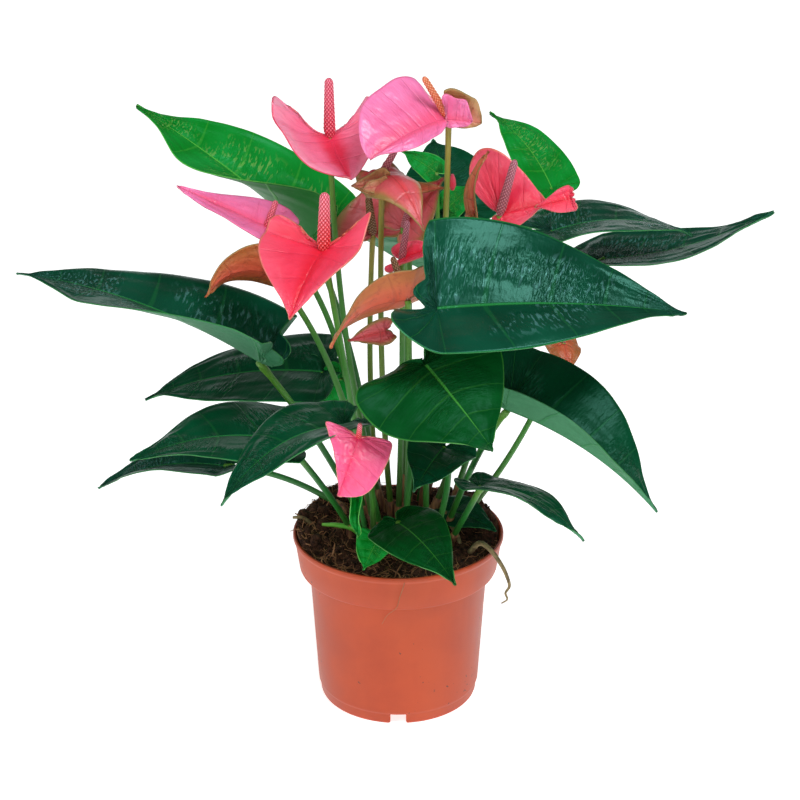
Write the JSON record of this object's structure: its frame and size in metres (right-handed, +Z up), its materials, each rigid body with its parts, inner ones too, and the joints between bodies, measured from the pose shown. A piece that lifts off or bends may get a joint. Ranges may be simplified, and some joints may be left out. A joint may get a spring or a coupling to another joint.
{
  "type": "potted anthurium",
  "caption": "Flamingo flower in a round nursery pot of peat: glossy heart-shaped leaves on long petioles, with pink and coral spathes, each around an upright knobbly spadix",
  "frame": {"origin": "on the pot's axis, in the plane of the pot's foot; the foliage spreads almost evenly round it", "axes": "+Z up along the pot's axis, +X to the right along the widest spread of the foliage, -Y towards the front, which is the side the open flowers face"},
  "size_m": [0.4183, 0.2408, 0.3673],
  "materials": {
    "terracotta_plastic": "satin moulded polypropylene in a terracotta colour",
    "peat": "rough moist peat with coarse fibres",
    "root": "dull corky skin",
    "leaf": "glossy waxy leaf with quilted veins",
    "stalk": "satin green to brown stalk",
    "spathe": "satin waxy pink to coral",
    "spathe_aged": "satin waxy red-brown turning olive",
    "spadix": "matt, with small close-set knobs"
  },
  "bodies": {
    "root": {"pot": "terracotta_plastic", "soil": "peat", "aerial_root": "root", "leaf_top_left": "leaf", "leaf_left": "leaf", "leaf_left_middle": "leaf", "leaf_left_lower": "leaf", "leaf_front_left": "leaf", "leaf_left_back": "leaf", "leaf_right_large": "leaf", "leaf_centre": "leaf", "leaf_right_lower": "leaf", "leaf_right_back": "leaf", "leaf_right_upper": "leaf", "leaf_top_right": "leaf", "leaf_top_back": "leaf", "leaf_small_centre": "leaf", "leaf_right_low": "leaf", "leaf_front_low": "leaf", "leaf_back_left": "leaf", "leaf_back_right": "leaf", "flower_1_stalk": "stalk", "flower_1_spathe": "spathe", "flower_1_spadix": "spadix", "flower_2_stalk": "stalk", "flower_2_spathe": "spathe", "flower_2_spadix": "spadix", "flower_3_stalk": "stalk", "flower_3_spathe": "spathe", "flower_3_spadix": "spadix", "flower_4_stalk": "stalk", "flower_4_spathe": "spathe", "flower_4_spadix": "spadix", "flower_5_stalk": "stalk", "flower_5_spathe": "spathe_aged", "flower_5_spadix": "spadix", "flower_6_stalk": "stalk", "flower_6_spathe": "spathe_aged", "flower_6_spadix": "spadix", "flower_7_stalk": "stalk", "flower_7_spathe": "spathe_aged", "flower_7_spadix": "spadix", "flower_8_stalk": "stalk", "flower_8_spathe": "spathe_aged", "flower_8_spadix": "spadix", "flower_9_stalk": "stalk", "flower_9_spathe": "spathe_aged", "flower_9_spadix": "spadix", "flower_10_stalk": "stalk", "flower_10_spathe": "spathe_aged", "flower_10_spadix": "spadix", "flower_11_stalk": "stalk", "flower_11_spathe": "spathe", "flower_11_spadix": "spadix", "flower_12_stalk": "stalk", "flower_12_spathe": "spathe", "flower_12_spadix": "spadix", "flower_13_stalk": "stalk", "flower_13_spathe": "spathe_aged", "flower_13_spadix": "spadix"}
  },
  "joints": []
}
